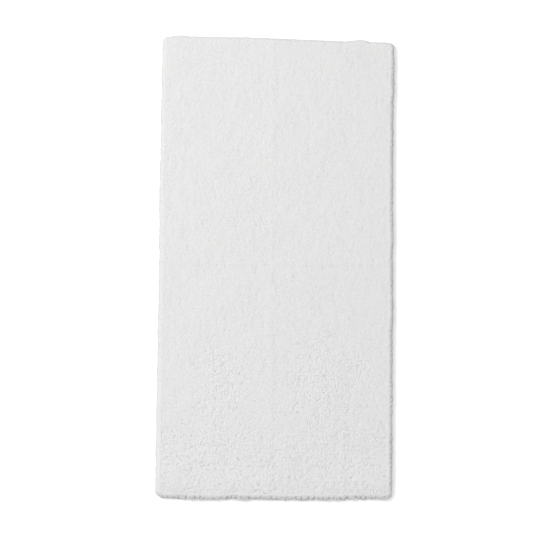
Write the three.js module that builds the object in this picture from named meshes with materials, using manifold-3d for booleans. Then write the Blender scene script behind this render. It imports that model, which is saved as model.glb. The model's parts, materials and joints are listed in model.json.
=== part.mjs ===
// Tufted cut-pile bath mat, folded once across its middle by a hinge line.
// Units are millimetres. +X is the width, +Y the length, +Z up.
// The origin is the centre of the underside, and the underside lies on z = 0.
//
// From the floor up the mat is a stack of textile layers:
//   anti-slip coat, with a hem tape round it on the same level
//   latex lock coat
//   woven backing cloth
//   cut-pile tufts
// The mat is one flexible sheet. Each layer is divided at the crosswise crease
// (y = 0) so that the far half can be folded over onto the near half.

import * as THREE from 'three';
import { mergeVertices } from 'three/addons/utils/BufferGeometryUtils.js';
import Module from 'manifold-3d';

// ---- driving dimensions ---------------------------------------------------
const WIDTH = 600;              // along X, over the pile
const LENGTH = 1200;            // along Y, over the pile
const FAR_END_SKEW = 10;        // the far end is cut this much short at its right corner
const CORNER_R = 17;            // plan radius of the corners
const GAP = 0.3;                // clearance between touching layers

const COAT_T = 1.6;             // anti-slip coat and hem tape
const LATEX_T = 0.8;
const CLOTH_T = 0.8;
const PILE_TOP = 22;            // total thickness of the mat
const PILE_EDGE_R = 7;          // the tufts fan out, so the pile's edge is rounded
const BASE_INSET = 6;           // the pile overhangs the backing by this much

const TAPE_W = 20;              // width of the hem tape
const SEAM_INSET = 21;          // seam line, from the pile's outline
const THREAD_W = 1.2;
const THREAD_T = 0.5;
const THREAD_Z = 0.15;          // the thread sits in a groove, clear of the floor

const LABEL_W = 30;             // blank sewn-in label
const LABEL_L = 45;
const LABEL_T = 0.25;
const LABEL_Z = 0.75;
const LABEL_X = 180;
const LABEL_INSET = 23;         // its sewn end, from the far end's outline
const TACK_W = 0.8;
const TACK_T = 0.25;
const TACK_Z = 0.2;

// ---- derived levels ---------------------------------------------------------
const LATEX_Z = COAT_T + GAP;
const CLOTH_Z = LATEX_Z + LATEX_T + GAP;
const PILE_Z = CLOTH_Z + CLOTH_T + GAP;
const X1 = WIDTH / 2;
const Y1 = LENGTH / 2;

// ---- materials --------------------------------------------------------------
const mat = (color, roughness) => new THREE.MeshStandardMaterial({ color, roughness, metalness: 0 });
const pileMat = mat(0xece9e4, 0.96);
const clothMat = mat(0xe3dccb, 0.92);
const latexMat = mat(0xd9d3c2, 0.7);
const coatMat = mat(0xd6d2c8, 0.62);
const tapeMat = mat(0xe9e6df, 0.88);
const threadMat = mat(0xf2f0ea, 0.7);
const labelMat = mat(0xf6f5f2, 0.5);

// ---- solids -----------------------------------------------------------------
const wasm = await Module();
wasm.setup();

const toSolid = (geometry) => {
  const g = geometry.clone();
  g.deleteAttribute('normal');
  g.deleteAttribute('uv');
  const m = mergeVertices(g, 1e-4);
  return new wasm.Manifold(new wasm.Mesh({
    numProp: 3,
    vertProperties: new Float32Array(m.attributes.position.array),
    triVerts: new Uint32Array(m.index.array),
  }));
};

// The right side of the far half is a little shorter than the left, so every
// layer of that half is sheared by the same amount.
const skew = (x, y) => (y > 0 ? y * (1 - (FAR_END_SKEW / Y1) * ((x + X1) / WIDTH)) : y);

const toGeometry = (solid) => {
  const mesh = solid.getMesh();
  const p = new Float32Array((mesh.vertProperties.length / mesh.numProp) * 3);
  for (let i = 0; i < p.length / 3; i++) {
    const x = mesh.vertProperties[i * mesh.numProp];
    const y = mesh.vertProperties[i * mesh.numProp + 1];
    p[i * 3] = x;
    p[i * 3 + 1] = skew(x, y);
    p[i * 3 + 2] = mesh.vertProperties[i * mesh.numProp + 2];
  }
  const g = new THREE.BufferGeometry();
  g.setAttribute('position', new THREE.BufferAttribute(p, 3));
  g.setIndex(new THREE.BufferAttribute(new Uint32Array(mesh.triVerts), 1));
  g.computeVertexNormals();
  return g;
};

const box = (x0, x1, y0, y1, z0, z1) => toSolid(
  new THREE.BoxGeometry(x1 - x0, y1 - y0, z1 - z0)
    .translate((x0 + x1) / 2, (y0 + y1) / 2, (z0 + z1) / 2));

const prism = (points, z0, z1) => toSolid(
  new THREE.ExtrudeGeometry(new THREE.Shape(points.map(([x, y]) => new THREE.Vector2(x, y))),
    { depth: z1 - z0, bevelEnabled: false }).translate(0, 0, z0));

// The mat's plan outline, drawn in by `inset` all round.
const outline = (inset) => {
  const x = X1 - inset;
  const y = Y1 - inset;
  const r = Math.max(CORNER_R - inset, 2);
  const s = new THREE.Shape();
  s.moveTo(-x + r, -y);
  s.lineTo(x - r, -y);
  s.absarc(x - r, -y + r, r, -Math.PI / 2, 0, false);
  s.lineTo(x, y - r);
  s.absarc(x - r, y - r, r, 0, Math.PI / 2, false);
  s.lineTo(-x + r, y);
  s.absarc(-x + r, y - r, r, Math.PI / 2, Math.PI, false);
  s.lineTo(-x, -y + r);
  s.absarc(-x + r, -y + r, r, Math.PI, Math.PI * 1.5, false);
  return s;
};

const sheet = (inset, z0, thickness) => toSolid(
  new THREE.ExtrudeGeometry(outline(inset), { depth: thickness, bevelEnabled: false, curveSegments: 8 })
    .translate(0, 0, z0));

const nearHalf = box(-400, 400, -700, -GAP / 2, -5, 60);
const farHalf = box(-400, 400, GAP / 2, 700, -5, 60);

const group = new THREE.Group();
const add = (name, solid, material) => {
  const mesh = new THREE.Mesh(toGeometry(solid), material);
  mesh.name = name;
  group.add(mesh);
};
const addHalves = (name, solid, material) => {
  add(`near_${name}`, solid.intersect(nearHalf), material);
  add(`far_${name}`, solid.intersect(farHalf), material);
};

// ---- cut-pile tufts ---------------------------------------------------------
const pile = toSolid(
  new THREE.ExtrudeGeometry(outline(0), {
    depth: PILE_TOP - PILE_Z - 2 * PILE_EDGE_R,
    bevelEnabled: true,
    bevelThickness: PILE_EDGE_R,
    bevelSize: PILE_EDGE_R,
    bevelOffset: -PILE_EDGE_R,
    bevelSegments: 4,
    curveSegments: 8,
  }).translate(0, 0, PILE_Z + PILE_EDGE_R));
addHalves('pile', pile, pileMat);

// ---- woven backing cloth and latex lock coat --------------------------------
addHalves('backing_cloth', sheet(BASE_INSET, CLOTH_Z, CLOTH_T), clothMat);
addHalves('latex_coat', sheet(BASE_INSET, LATEX_Z, LATEX_T), latexMat);

// ---- recess of the label, in the tape's inner edge and in the coat ----------
const labelY1 = Y1 - LABEL_INSET;
const labelPocket = box(
  LABEL_X - LABEL_W / 2 - GAP, LABEL_X + LABEL_W / 2 + GAP,
  labelY1 - LABEL_L - GAP, labelY1 + GAP, -1, LABEL_Z + LABEL_T + GAP);

// ---- anti-slip coat, inside the frame of tapes --------------------------------
const inner = BASE_INSET + TAPE_W;
const coat = box(-X1 + inner + GAP, X1 - inner - GAP, -Y1 + inner + GAP, Y1 - inner - GAP, 0, COAT_T)
  .subtract(labelPocket);
addHalves('antislip_coat', coat, coatMat);

// ---- hem tapes, mitred at the corners ---------------------------------------
const ring = sheet(BASE_INSET, 0, COAT_T)
  .subtract(box(-X1 + inner, X1 - inner, -Y1 + inner, Y1 - inner, -1, COAT_T + 1));
const m = GAP * 0.75;           // half of the mitre's gap, along an axis
const endWedge = (s) => {
  const pts = [[-X1 - 20 + m, s * (Y1 + 20)], [X1 + 20 - m, s * (Y1 + 20)], [X1 - 60 - m, s * (Y1 - 60)], [-X1 + 60 + m, s * (Y1 - 60)]];
  return prism(s > 0 ? pts.reverse() : pts, -1, COAT_T + 1);
};
const sideWedge = (sx, sy) => {
  const pts = [[sx * (X1 + 20), sy * (Y1 + 20 - m)], [sx * (X1 + 20), sy * GAP / 2], [sx * (X1 - 60), sy * GAP / 2], [sx * (X1 - 60), sy * (Y1 - 60 - m)]];
  return prism(pts, -1, COAT_T + 1);
};

// Each seam is a line of thread in a shallow groove that it has pulled into the tape.
const seamX = X1 - SEAM_INSET;
const seamY = Y1 - SEAM_INSET;
const seamEnd = 8;              // a seam stops short of its tape's mitre
const threadLine = (x0, y0, x1, y1, grow) => {
  const w = THREAD_W / 2 + grow;
  const z0 = grow ? -1 : THREAD_Z;
  const z1 = THREAD_Z + THREAD_T + grow;
  const path = new THREE.LineCurve3(new THREE.Vector3(x0, y0, 0), new THREE.Vector3(x1, y1, 0));
  const dir = path.v2.clone().sub(path.v1);
  const length = dir.length() + 2 * grow;
  const section = grow
    ? new THREE.Shape([[-w, z0], [w, z0], [w, z1], [-w, z1]].map(([a, b]) => new THREE.Vector2(a, b)))
    : new THREE.Shape([[-w * 0.6, z0], [w * 0.6, z0], [w, z0 + THREAD_T * 0.35], [w, z0 + THREAD_T * 0.65],
        [w * 0.6, z1], [-w * 0.6, z1], [-w, z0 + THREAD_T * 0.65], [-w, z0 + THREAD_T * 0.35]]
        .map(([a, b]) => new THREE.Vector2(a, b)));
  // section drawn in X (across) and Y (up), extruded along Z, then laid down along the seam
  const g = new THREE.ExtrudeGeometry(section, { depth: length, bevelEnabled: false });
  g.translate(0, 0, -length / 2);
  g.rotateX(Math.PI / 2);                       // up is +Z, the run is along Y
  g.rotateZ(Math.atan2(-dir.x, dir.y));
  g.translate((x0 + x1) / 2, (y0 + y1) / 2, 0);
  return toSolid(g);
};

const tapes = [
  ['near_end', endWedge(-1), [-seamX + seamEnd, -seamY, seamX - seamEnd, -seamY]],
  ['far_end', endWedge(1), [-seamX + seamEnd, seamY, seamX - seamEnd, seamY]],
  ['left_near', sideWedge(-1, -1), [-seamX, -seamY + seamEnd, -seamX, -2]],
  ['right_near', sideWedge(1, -1), [seamX, -seamY + seamEnd, seamX, -2]],
  ['left_far', sideWedge(-1, 1), [-seamX, 2, -seamX, seamY - seamEnd]],
  ['right_far', sideWedge(1, 1), [seamX, 2, seamX, seamY - seamEnd]],
];
for (const [name, wedge, line] of tapes) {
  let tape = ring.intersect(wedge).subtract(threadLine(...line, GAP));
  if (name === 'far_end') tape = tape.subtract(labelPocket);
  add(`${name}_hem_tape`, tape, tapeMat);
  add(`${name}_hem_seam`, threadLine(...line, 0), threadMat);
}

// ---- blank label and the tack that holds its end ----------------------------
add('care_label', box(LABEL_X - LABEL_W / 2, LABEL_X + LABEL_W / 2, labelY1 - LABEL_L, labelY1,
  LABEL_Z, LABEL_Z + LABEL_T), labelMat);
add('care_label_tack', box(LABEL_X - 13, LABEL_X + 13, labelY1 - 1 - TACK_W, labelY1 - 1,
  TACK_Z, TACK_Z + TACK_T), threadMat);

export default group;
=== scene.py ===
"""The looks of a white cut-pile bath mat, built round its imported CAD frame.

The mat is built as the real one is: a woven cloth that thousands of separate
yarn tufts stand out of, a latex skin and a rubbery coat with grip dots under it,
hem tape with lockstitches round the underside, and a blank label. Lengths inside
this script are millimetres, and every mesh is written in metres.
"""
import json
import math

import bpy
import numpy as np
from mathutils import Matrix, Vector


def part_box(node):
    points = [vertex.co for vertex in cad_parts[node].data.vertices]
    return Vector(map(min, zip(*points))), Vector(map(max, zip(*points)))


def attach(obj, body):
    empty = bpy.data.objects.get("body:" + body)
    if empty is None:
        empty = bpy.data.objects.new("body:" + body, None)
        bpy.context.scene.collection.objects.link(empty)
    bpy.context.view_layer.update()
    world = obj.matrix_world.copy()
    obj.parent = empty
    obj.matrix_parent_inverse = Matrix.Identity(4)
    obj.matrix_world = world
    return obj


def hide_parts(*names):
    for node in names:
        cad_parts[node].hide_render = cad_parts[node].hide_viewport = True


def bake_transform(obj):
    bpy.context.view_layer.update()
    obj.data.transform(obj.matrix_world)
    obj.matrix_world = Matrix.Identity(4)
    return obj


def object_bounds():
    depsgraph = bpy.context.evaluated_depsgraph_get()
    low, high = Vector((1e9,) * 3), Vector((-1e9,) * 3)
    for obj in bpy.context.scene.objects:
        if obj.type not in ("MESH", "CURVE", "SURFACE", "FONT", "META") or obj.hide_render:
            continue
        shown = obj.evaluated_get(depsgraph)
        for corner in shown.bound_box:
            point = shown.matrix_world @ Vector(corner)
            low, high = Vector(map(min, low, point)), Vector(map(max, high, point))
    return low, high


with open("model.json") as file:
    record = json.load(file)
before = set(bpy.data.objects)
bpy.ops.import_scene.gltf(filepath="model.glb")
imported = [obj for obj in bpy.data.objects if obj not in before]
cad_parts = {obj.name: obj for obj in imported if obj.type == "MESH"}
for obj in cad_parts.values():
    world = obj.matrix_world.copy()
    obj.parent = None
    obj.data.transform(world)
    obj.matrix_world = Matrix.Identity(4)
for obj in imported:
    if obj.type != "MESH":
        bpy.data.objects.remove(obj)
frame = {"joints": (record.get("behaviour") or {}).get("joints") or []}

CAD_BOX = [list(v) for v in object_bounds()]
MM = 0.001

# ---- sizes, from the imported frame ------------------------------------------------
X1 = CAD_BOX[1][0] * 1000  # half width over the pile
Y1 = -CAD_BOX[0][1] * 1000  # half length over the pile
SKEW = 10.0  # the far end's right corner is this much short
CORNER_R = 13.0
BASE_INSET = X1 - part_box("near_backing_cloth")[1].x * 1000
CLOTH_Z = [v.z * 1000 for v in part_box("near_backing_cloth")]
LATEX_Z = [v.z * 1000 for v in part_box("near_latex_coat")]
COAT_Z = [v.z * 1000 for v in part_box("near_antislip_coat")]
COAT_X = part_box("near_antislip_coat")[1].x * 1000
PILE_Z = [v.z * 1000 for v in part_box("near_pile")]
FOLD_Z = frame["joints"][0]["pos_m"][2] * 1000
SEAM_INSET = 21.0
RIGID = 24.0  # tufts rooted further than this from the fold ride on one half


def smooth(a, b, x):
    t = np.clip((x - a) / (b - a), 0, 1)
    return t * t * (3 - 2 * t)


def vnoise(x, y, sx, sy, seed):
    """Smooth value noise from -1 to 1, with cells of sx by sy."""
    g = np.random.default_rng(seed).random((192, 192))
    n = g.shape[0]
    x, y = np.asarray(x, float), np.asarray(y, float)
    if sx > 1.9 and sy > 1.9:  # the lattice is turned and warped, or lines along the axes would show
        a = ((seed * 0.618) % 1 - 0.5) * 0.7
        x, y = x * math.cos(a) - y * math.sin(a), x * math.sin(a) + y * math.cos(a)
        x, y = x + 0.3 * sx * np.sin(1.9 * y / sy + seed), y + 0.3 * sy * np.sin(1.7 * x / sx + seed * 1.7)
    u, v = x / sx + 997.3, y / sy + 991.7
    i, j = np.floor(u).astype(int), np.floor(v).astype(int)
    fu, fv = u - i, v - j
    fu, fv = fu * fu * (3 - 2 * fu), fv * fv * (3 - 2 * fv)
    a, b = g[i % n, j % n], g[(i + 1) % n, j % n]
    c, d = g[i % n, (j + 1) % n], g[(i + 1) % n, (j + 1) % n]
    return 2 * ((a * (1 - fu) + b * fu) * (1 - fv) + (c * (1 - fu) + d * fu) * fv) - 1


# ---- plan shape ----------------------------------------------------------------
FAR_X = np.array([-300, -292, -274, -250, -227, -188, -122, -34, -13, 60, 138, 175, 209, 222, 237, 279, 300.0])
FAR_DY = np.array([-1.5, -1.0, 0.8, 4.0, 1.5, 2.0, 3.0, 3.0, 1.5, 1.0, -0.5, -1.0, 4.0, 4.2, -1.0, -1.0, -3.0])
NEAR_X = np.array([-300, -290, -275, -240, -200, -130, -105, -80, 0, 170, 200, 280, 300.0])
NEAR_DY = np.array([10, 6.5, 2.5, 2, 0.5, 0.5, 3.5, 1.0, 2.0, 2.5, 5.0, 5.5, 8.0])


def rounded(x, y, inset):
    """Pulls a rectangle's corners into arcs."""
    r = max(CORNER_R - inset, 4.0)
    cx, cy = X1 - inset - r, Y1 - inset - r
    dx, dy = np.abs(x) - cx, np.abs(y) - cy
    far = (dx > 0) & (dy > 0)
    f = np.where(far, np.maximum(dx, dy) / np.maximum(np.hypot(dx, dy), 1e-9), 1.0)
    return (
        np.where(far, np.sign(x) * (cx + dx * f), x),
        np.where(far, np.sign(y) * (cy + dy * f), y),
    )


def soften(xs, dy):
    """The slow part of an edge's waviness, at even steps across the mat."""
    at = np.linspace(-300, 300, 121)
    w = np.exp(-(((at[:, None] - at[None]) / 45.0) ** 2))
    return at, (w @ np.interp(at, xs, dy)) / w.sum(1)


def plan(x, y, hem=False):
    """The straight rectangle's plan to the real mat's: its short right side, and the edges' waviness. The sewn hem and all that it holds follow only the slow part."""
    t = (x + X1) / (2 * X1)
    far, near = smooth(Y1 - 130, Y1 - 20, y), smooth(-Y1 + 130, -Y1 + 20, y)
    right, left = smooth(X1 - 90, X1 - 15, x), smooth(-X1 + 90, -X1 + 15, x)
    yy = np.where(y > 0, y * (1 - SKEW / Y1 * t), y)
    far_edge, near_edge = (soften(FAR_X, FAR_DY), soften(NEAR_X, NEAR_DY)) if hem else ((FAR_X, FAR_DY), (NEAR_X, NEAR_DY))
    yy = yy + far * np.interp(x, *far_edge) + near * np.interp(x, *near_edge)
    fine = 0.0 if hem else 1.1
    side = right * (1.2 + vnoise(x * 0, y, 1, 74, 11) * 1.4 + vnoise(x * 0, y, 1, 23, 12) * fine)
    side = side - left * (vnoise(x * 0, y, 1, 66, 13) * 1.3 + vnoise(x * 0, y, 1, 21, 14) * fine)
    return x + side, yy


# ---- the pile's surface --------------------------------------------------------
def rough_part(x, y):
    """0 where the pile is fine and even, 1 where its yarns are tousled, as towards the near end."""
    wob = vnoise(x, y, 46, 46, 21) * 0.22 + vnoise(x, y, 17, 19, 22) * 0.16
    a = 1 - np.hypot((x + 133) / 78, (y + 329) / 150)
    b = 1 - np.hypot((x - 136) / 130, (y + 303) / 165)
    c = smooth(-372, -440, y + wob * 120)
    low = 0.42 * smooth(-120, -330, y + wob * 260)
    return np.clip(np.maximum.reduce([smooth(-0.1, 0.45, a + wob), smooth(-0.1, 0.45, b + wob), c, low]), 0, 1)


def folds(x, y):
    """The soft ridges that the mat's packing folds left, in mm, each with a shallow trough beside it."""
    u = x + 12 + vnoise(x * 0, y, 1, 150, 31) * 2.0
    along = (np.exp(-((u / 9.0) ** 2)) * 0.40 - np.exp(-(((u - 17) / 9.0) ** 2)) * 0.10) * (1 + 0.25 * vnoise(x * 0, y, 1, 110, 32))
    v = y - 9 - vnoise(x, y * 0, 130, 1, 33) * 2
    side = 0.40 + 0.30 * smooth(-60, 60, x)
    across = (np.exp(-((v / 8.0) ** 2)) * 0.95 - np.exp(-(((v + 15) / 8.0) ** 2)) * 0.25) * side * (1 + 0.2 * vnoise(x, y * 0, 90, 1, 34))
    late = 0.6 * np.exp(-(((x - 176) / 8.0) ** 2)) * smooth(-330, -420, y)
    late = late + 0.4 * np.exp(-(((x + 158) / 8.0) ** 2)) * smooth(-260, -360, y)
    return np.where(np.abs(along) > np.abs(across), along, across) * 0.6 + (along + across) * 0.4 * (1 - 0.6 * np.exp(-((u / 14.0) ** 2) - (v / 14.0) ** 2)) + late


def lumps(x, y):
    return vnoise(x, y, 95, 120, 41) * 0.55 + vnoise(x, y, 34, 44, 42) * 0.35


def make_mesh(name, verts, loops, starts, smooth_on=True):
    me = bpy.data.meshes.new(name)
    me.vertices.add(len(verts))
    me.vertices.foreach_set("co", (np.asarray(verts, np.float32) * MM).ravel())
    me.loops.add(len(loops))
    me.loops.foreach_set("vertex_index", np.asarray(loops, np.int32))
    me.polygons.add(len(starts))
    me.polygons.foreach_set("loop_start", np.asarray(starts, np.int32))
    me.polygons.foreach_set("use_smooth", np.full(len(starts), smooth_on))
    me.update(calc_edges=True)
    ob = bpy.data.objects.new(name, me)
    bpy.context.scene.collection.objects.link(ob)
    return ob


def from_faces(name, verts, faces, smooth_on=True):
    """faces is a list of index arrays, each (n, corners)."""
    loops = np.concatenate([f.ravel() for f in faces])
    counts = np.concatenate([np.full(len(f), f.shape[1]) for f in faces])
    starts = np.concatenate([[0], np.cumsum(counts)[:-1]])
    return make_mesh(name, verts, loops, starts, smooth_on)


# ---- layers of cloth and rubber ------------------------------------------------
def lines(half, step, *extra):
    """Grid lines from -half to half, with the extra ones among them."""
    n = max(2, int(round(2 * half / step)))
    v = np.concatenate([np.linspace(-half, half, n + 1), *[np.atleast_1d(e) for e in extra]])
    v = np.unique(np.round(v[(v >= -half - 1e-6) & (v <= half + 1e-6)], 3))
    keep = np.concatenate([[True], np.diff(v) > 0.35])
    return v[keep]


FOLD_LINES = np.linspace(-26, 26, 27)


def layer(name, inset, top, bottom, step=9.0, edge_lines=(), hem=True):
    """A closed layer between two heights, which may be functions of the place."""
    hx, hy = X1 - inset, Y1 - inset
    near_edge = np.array([0, 1.0, 2.2, 4, 7, 11, 16, *edge_lines])
    xs = lines(hx, step, hx - near_edge, -hx + near_edge)
    ys = lines(hy, step, hy - near_edge, -hy + near_edge, FOLD_LINES)
    gx, gy = np.meshgrid(xs, ys, indexing="ij")
    px, py = rounded(gx, gy, inset)
    px, py = plan(px, py, hem)
    zt = top(gx, gy) if callable(top) else np.full(gx.shape, float(top))
    zb = bottom(gx, gy) if callable(bottom) else np.full(gx.shape, float(bottom))
    n, m = gx.shape
    idx = np.arange(n * m).reshape(n, m)
    verts = np.concatenate([
        np.stack([px, py, zt], -1).reshape(-1, 3),
        np.stack([px, py, zb], -1).reshape(-1, 3),
    ])
    a, b, c, d = idx[:-1, :-1], idx[1:, :-1], idx[1:, 1:], idx[:-1, 1:]
    up = np.stack([a, b, c, d], -1).reshape(-1, 4)
    down = np.stack([a, d, c, b], -1).reshape(-1, 4) + n * m
    rim = np.concatenate([idx[:, 0], idx[-1, 1:], idx[-2::-1, -1], idx[0, -2:0:-1]])
    nxt = np.roll(rim, -1)
    side = np.stack([rim, rim + n * m, nxt + n * m, nxt], -1)
    return from_faces(name, verts, [up, down, side])


# ---- tufts -----------------------------------------------------------------------
RINGS = ((0.0, 0.60), (0.52, 0.88), (0.90, 1.0), (0.985, 0.72))  # share of the length, share of the widest radius
SIDES = 6
UV_RHO = (0.49, 0.41, 0.31, 0.18)
LOWEST, HIGHEST = 0.15, FOLD_Z - 0.25  # tufts stay over the floor, and under the fold's axis


def tuft_mesh(name, root, way, bow, length, radius, rough, rng):
    """Separate closed yarn ends. Each is three plies, twisted a little, that bloom into a soft domed tip, and it carries a cell of its own on the OFBake map."""
    n, k = len(root), np.arange(SIDES)
    way = way / np.linalg.norm(way, axis=1, keepdims=True)
    ref = np.where(np.abs(way[:, 2:3]) > 0.8, np.array([[1.0, 0, 0]]), np.array([[0, 0, 1.0]]))
    e1 = np.cross(way, ref)
    e1 /= np.linalg.norm(e1, axis=1, keepdims=True)
    e2 = np.cross(way, e1)
    turn = rng.random(n) * 2 * math.pi
    flat = 1 + rng.normal(0, 0.07, (n, 1))
    wild = (0.35 + 0.65 * rough)[:, None]
    last = len(RINGS) - 1
    verts = np.empty((n, len(RINGS) * SIDES + 1, 3))
    for r, (f, w) in enumerate(RINGS):
        ang = turn[:, None] + 0.9 * f + k[None] * 2 * math.pi / SIDES + rng.normal(0, 0.07, (n, SIDES))
        cosa, sina = np.cos(ang) * flat, np.sin(ang) / flat
        centre = root + way * (length * f)[:, None] + bow * (f * f)
        ply = np.where(k % 2 == 0, 0.10, -0.10)[None] * (0.6 if r < last else 1.0)
        rad = (radius * w)[:, None] * (1 + ply * wild + rng.normal(0, 0.05 if r < last else 0.10, (n, SIDES)))
        up = np.where(k % 2 == 0, 0.11, -0.11)[None] * wild + rng.normal(0, 0.08, (n, SIDES)) * wild if r == last else np.zeros((n, SIDES))
        ring = centre[:, None] + e1[:, None] * (cosa * rad)[..., None] + e2[:, None] * (sina * rad)[..., None]
        verts[:, r * SIDES:(r + 1) * SIDES] = ring + way[:, None] * up[..., None]
    verts[:, -1] = root + way * (length + 0.08 * radius + rng.normal(0, 0.03, n))[:, None] + bow
    verts[:, :, 2] = np.clip(verts[:, :, 2], LOWEST, HIGHEST)
    faces, uv = [], []
    cell = np.stack([np.cos(k * 2 * math.pi / SIDES), np.sin(k * 2 * math.pi / SIDES)], -1)
    # e1, e2 and way are right-handed, so a ring counts anticlockwise round the tip
    for r in range(last):
        for a in range(SIDES):
            b = (a + 1) % SIDES
            faces.append((r * SIDES + a, r * SIDES + b, (r + 1) * SIDES + b, (r + 1) * SIDES + a))
            uv += [cell[a] * UV_RHO[r], cell[b] * UV_RHO[r], cell[b] * UV_RHO[r + 1], cell[a] * UV_RHO[r + 1]]
    for a in range(SIDES):
        b = (a + 1) % SIDES
        faces.append((last * SIDES + a, last * SIDES + b, (last + 1) * SIDES))
        uv += [cell[a] * UV_RHO[last], cell[b] * UV_RHO[last], np.zeros(2)]
    faces.append(tuple(reversed(range(SIDES))))
    uv += [np.array([0.47, 0.47]) + c * 0.012 for c in cell[::-1]]
    loops0 = np.concatenate([np.array(f) for f in faces])
    counts = np.array([len(f) for f in faces])
    starts0 = np.concatenate([[0], np.cumsum(counts)[:-1]])
    nv, nl = len(RINGS) * SIDES + 1, len(loops0)
    loops = (np.arange(n)[:, None] * nv + loops0[None]).ravel()
    starts = (np.arange(n)[:, None] * nl + starts0[None]).ravel()
    ob = make_mesh(name, verts.reshape(-1, 3), loops, starts)
    across = int(math.ceil(math.sqrt(n)))
    mid = np.stack([np.arange(n) % across, np.arange(n) // across], -1) + 0.5
    layer_uv = ob.data.uv_layers.new(name="OFBake")
    layer_uv.uv.foreach_set("vector", ((mid[:, None] + np.array(uv)[None]) / across).astype(np.float32).ravel())
    share = np.repeat([f for f, _ in RINGS], SIDES)
    yarn = np.empty((n, nv, 3), np.float32)
    yarn[:, :, 0] = rng.random(n)[:, None]
    # the odd, lower ply ends sit a little further down the painted-shade ramp from tip to root
    yarn[:, :, 1] = np.append(share * np.where(np.arange(len(share)) % 2 == 0, 1.0, 0.94), 1.0)[None]
    yarn[:, :, 2] = rough[:, None]
    at = ob.data.attributes.new("yarn", "FLOAT_VECTOR", "POINT")
    at.data.foreach_set("vector", yarn.ravel())
    # a place round and along the yarn, for the fibres that run down it
    width = np.repeat([w for _, w in RINGS], SIDES)
    fibre = np.zeros((n, nv, 3), np.float32)
    around = np.tile(k * 2 * math.pi / SIDES, len(RINGS))
    fibre[:, :-1, 0] = np.cos(around) * width
    fibre[:, :-1, 1] = np.sin(around) * width
    fibre[:, :, 2] = np.append(share, 1.0)[None]
    fibre[:, :, :2] += rng.random((n, 1, 2)) * 60
    at = ob.data.attributes.new("fibre", "FLOAT_VECTOR", "POINT")
    at.data.foreach_set("vector", fibre.ravel())
    return ob


def thread_mesh(name, paths, radius, sides=5, taper=0.6, seed=0):
    """Separate closed strands, one along each path: paths is (n, steps, 3), radius (n,)."""
    n, steps, _ = paths.shape
    tan = np.gradient(paths, axis=1)
    tan /= np.maximum(np.linalg.norm(tan, axis=2, keepdims=True), 1e-9)
    ref = np.broadcast_to(np.array([0.13, 0.07, 1.0]), tan.shape)
    e1 = np.cross(tan, ref)
    e1 /= np.maximum(np.linalg.norm(e1, axis=2, keepdims=True), 1e-9)
    e2 = np.cross(tan, e1)
    ang = np.arange(sides) * 2 * math.pi / sides
    prof = taper + (1 - taper) * np.sin(np.linspace(0, math.pi, steps)) ** 0.5
    rad = radius[:, None] * prof[None]
    ring = (
        paths[:, :, None]
        + e1[:, :, None] * (np.cos(ang)[None, None, :, None] * rad[:, :, None, None])
        + e2[:, :, None] * (np.sin(ang)[None, None, :, None] * rad[:, :, None, None])
    )
    ends = np.stack([paths[:, 0] - tan[:, 0] * radius[:, None] * 0.5, paths[:, -1] + tan[:, -1] * radius[:, None] * 0.5], 1)
    verts = np.concatenate([ring.reshape(n, -1, 3), ends], 1)
    faces = []
    for i in range(steps - 1):
        for s in range(sides):
            t = (s + 1) % sides
            faces.append((i * sides + s, i * sides + t, (i + 1) * sides + t, (i + 1) * sides + s))
    a, b = steps * sides, steps * sides + 1
    tris = []
    for s in range(sides):
        t = (s + 1) % sides
        tris.append((t, s, a))
        tris.append(((steps - 1) * sides + s, (steps - 1) * sides + t, b))
    nv = steps * sides + 2
    off = (np.arange(n) * nv)[:, None, None]
    quads = (np.array(faces)[None] + off).reshape(-1, 4)
    tri = (np.array(tris)[None] + off).reshape(-1, 3)
    if np.einsum("i,i", np.cross(e1[0, 0], e2[0, 0]), tan[0, 0]) < 0:
        quads, tri = quads[:, ::-1], tri[:, ::-1]
    return from_faces(name, verts.reshape(-1, 3), [quads, tri])


# ---- materials -------------------------------------------------------------------
TIP_A, TIP_B = (0.761, 0.761, 0.758), (0.785, 0.785, 0.784)  # undyed bleached cotton, which varies a little from yarn to yarn
# the yarns' colour low down towards their roots, darker: painted shade deep in the pile
ROOT_PAINTED_SHADE = (0.746, 0.744, 0.736)


def new_material(name, base, rough, sheen=0.0, spec=0.3):
    m = bpy.data.materials.new(name)
    m.use_nodes = True
    nt = m.node_tree
    p = nt.nodes["Principled BSDF"]
    p.inputs["Base Color"].default_value = (*base, 1)
    p.inputs["Roughness"].default_value = rough
    p.inputs["Specular IOR Level"].default_value = spec
    p.inputs["Sheen Weight"].default_value = sheen
    p.inputs["Sheen Roughness"].default_value = 0.5
    return m, nt, p


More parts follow.
